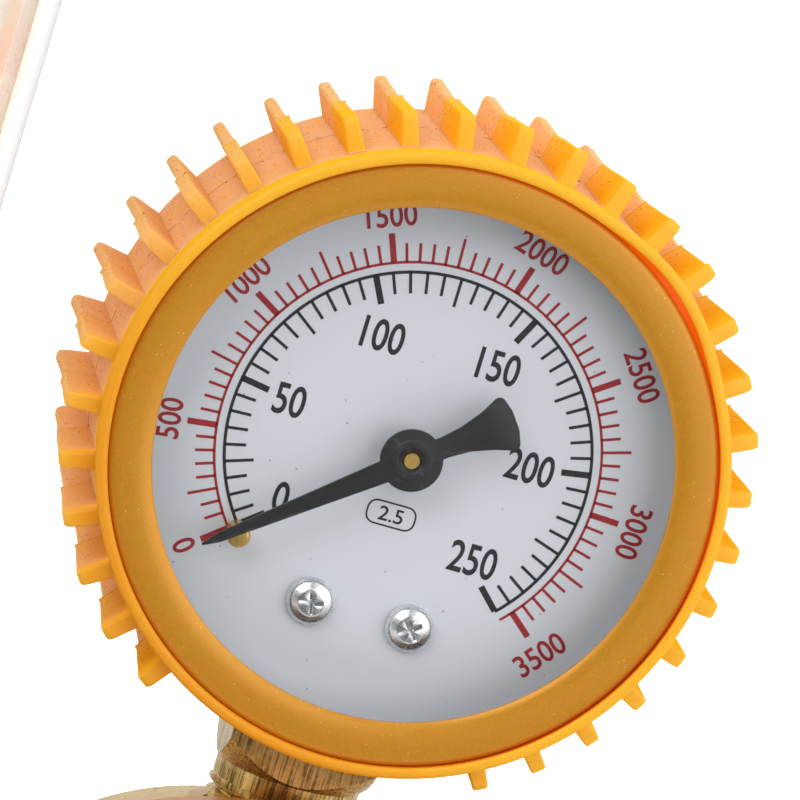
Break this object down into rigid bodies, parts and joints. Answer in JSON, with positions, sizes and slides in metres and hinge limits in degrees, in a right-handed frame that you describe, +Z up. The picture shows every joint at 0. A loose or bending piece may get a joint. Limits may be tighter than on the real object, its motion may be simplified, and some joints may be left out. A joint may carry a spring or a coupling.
{
  "type": "argon flowmeter regulator",
  "caption": "Gas regulator with a booted round pressure gauge, a clear flow tube with a ball, a needle valve knob, an inlet nut and a hose nipple.",
  "frame": {"origin": "tip of the inlet nipple's nose, on the inlet's axis", "axes": "+X out of the inlet towards the cylinder valve, +Y to the back, +Z up; the dial faces -Y"},
  "size_m": [0.1422, 0.06, 0.186],
  "materials": {
    "boot_rubber": "satin yellow rubber with dust in the moulded fins",
    "gold_paint": "gold metallic paint",
    "steel_case": "plain pressed steel",
    "screw_zinc": "bright zinc",
    "lens_clear": "clear",
    "dial_silver": "satin silver with printed scales",
    "pointer_black": "satin black",
    "brass_cast": "matt forged brass",
    "brass_cut": "machined brass",
    "bronze_tube": "drawn bronze",
    "seal_black": "black rubber",
    "diaphragm_rubber": "fabric-backed rubber",
    "spring_steel": "spring steel",
    "seat_nylon": "white nylon",
    "tube_clear": "clear polycarbonate",
    "ball_black": "gloss black",
    "stop_plastic": "pale plastic",
    "knob_plastic": "satin black",
    "nut_steel": "nickel plate"
  },
  "bodies": {
    "regulator": {"gauge_boot": "boot_rubber", "gauge_case": "steel_case", "gauge_bezel": "gold_paint", "gauge_lens": "lens_clear", "lens_gasket": "seal_black", "gauge_dial": "dial_silver", "dial_screws": "screw_zinc", "pointer_stop": "brass_cut", "hairspring": "bronze_tube", "bourdon_tube": "bronze_tube", "movement_back_plate": "brass_cut", "movement_front_plate": "brass_cut", "movement_screws": "screw_zinc", "gauge_socket": "brass_cut", "case_screws": "screw_zinc", "blowout_plug": "seal_black", "gauge_restrictor": "brass_cut", "seal_rings": "seal_black", "regulator_body": "brass_cast", "bonnet": "gold_paint", "diaphragm": "diaphragm_rubber", "slip_ring": "steel_case", "range_spring": "spring_steel", "spring_button": "steel_case", "preset_screw": "spring_steel", "preset_cap": "gold_paint", "seat_nozzle": "brass_cut", "poppet_spring": "spring_steel", "rear_plug": "brass_cut", "relief_body": "brass_cut", "relief_spring": "spring_steel", "relief_cap": "brass_cut", "inlet_nipple": "brass_cut", "inlet_filter": "bronze_tube", "outlet_arm": "brass_cut", "flow_base": "brass_cut", "tube_cover": "tube_clear", "flow_tube": "tube_clear", "float_stops": "stop_plastic", "top_spacer": "stop_plastic", "top_cap": "brass_cut", "gland_nut": "brass_cut", "outlet_adapter": "brass_cut", "outlet_barb": "brass_cut"},
    "sector": {"sector_gear": "brass_cut"},
    "pointer": {"pointer": "pointer_black", "pointer_arbor": "brass_cut"},
    "link": {"link": "brass_cut", "bourdon_tip": "brass_cut"},
    "diaphragm_unit": {"diaphragm_plate": "steel_case"},
    "valve": {"valve_poppet": "brass_cut", "poppet_seat": "seat_nylon"},
    "relief": {"relief_poppet": "brass_cut"},
    "inlet_nut": {"inlet_nut": "brass_cut"},
    "ball": {"flow_ball": "ball_black"},
    "knob": {"valve_knob": "knob_plastic", "valve_spindle": "brass_cut", "knob_screw": "screw_zinc"},
    "needle": {"valve_needle": "brass_cut"},
    "outlet_nut": {"outlet_nut": "brass_cut"}
  },
  "joints": [
    {"name": "sector_swing", "type": "hinge", "parent": "regulator", "child": "sector", "pos_m": [-0.06028, -0.008, 0.05628], "axis": [0, 1, 0], "range_deg": [-27, 0], "stiffness_Nm_per_rad": 0.002, "deforming": ["bourdon_tube", "hairspring"]},
    {"name": "pointer_turn", "type": "hinge", "parent": "regulator", "child": "pointer", "pos_m": [-0.07, -0.0139, 0.066], "axis": [0, 1, 0], "range_deg": [0, 270]},
    {"name": "link_swing", "type": "hinge", "parent": "sector", "child": "link", "pos_m": [-0.05605, -0.0073, 0.05474], "axis": [0, 1, 0], "range_deg": [0, 27]},
    {"name": "diaphragm_travel", "type": "slide", "parent": "regulator", "child": "diaphragm_unit", "axis": [0, 1, 0], "range_m": [0, 0.0008], "stiffness_N_per_m": 2000, "springref_m": -0.004, "deforming": ["diaphragm", "range_spring", "poppet_spring"]},
    {"name": "valve_travel", "type": "slide", "parent": "regulator", "child": "valve", "axis": [0, 1, 0], "range_m": [0, 0.0008]},
    {"name": "relief_lift", "type": "slide", "parent": "regulator", "child": "relief", "axis": [0, 0, -1], "range_m": [0, 0.001], "stiffness_N_per_m": 2000, "springref_m": -0.004, "deforming": ["relief_spring"]},
    {"name": "inlet_nut_spin", "type": "hinge", "parent": "regulator", "child": "inlet_nut", "pos_m": [-0.02, 0, 0], "axis": [1, 0, 0], "continuous": true},
    {"name": "ball_rise", "type": "slide", "parent": "regulator", "child": "ball", "axis": [0, 0, 1], "range_m": [0, 0.066]},
    {"name": "knob_turn", "type": "hinge", "parent": "regulator", "child": "knob", "pos_m": [-0.1252, -0.03, -0.008], "axis": [0, -1, 0], "range_deg": [0, 720]},
    {"name": "needle_travel", "type": "slide", "parent": "regulator", "child": "needle", "axis": [0, -1, 0], "range_m": [0, 0.00151]},
    {"name": "outlet_nut_spin", "type": "hinge", "parent": "regulator", "child": "outlet_nut", "pos_m": [-0.1252, 0, -0.037], "axis": [0, 0, 1], "continuous": true}
  ],
  "couplings": [
    {"joint": "pointer_turn", "follows": "sector_swing", "ratio": -10},
    {"joint": "link_swing", "follows": "sector_swing", "ratio": -1},
    {"joint": "valve_travel", "follows": "diaphragm_travel", "ratio": 1},
    {"joint": "needle_travel", "follows": "knob_turn", "m_per_rad": 0.00011937}
  ]
}
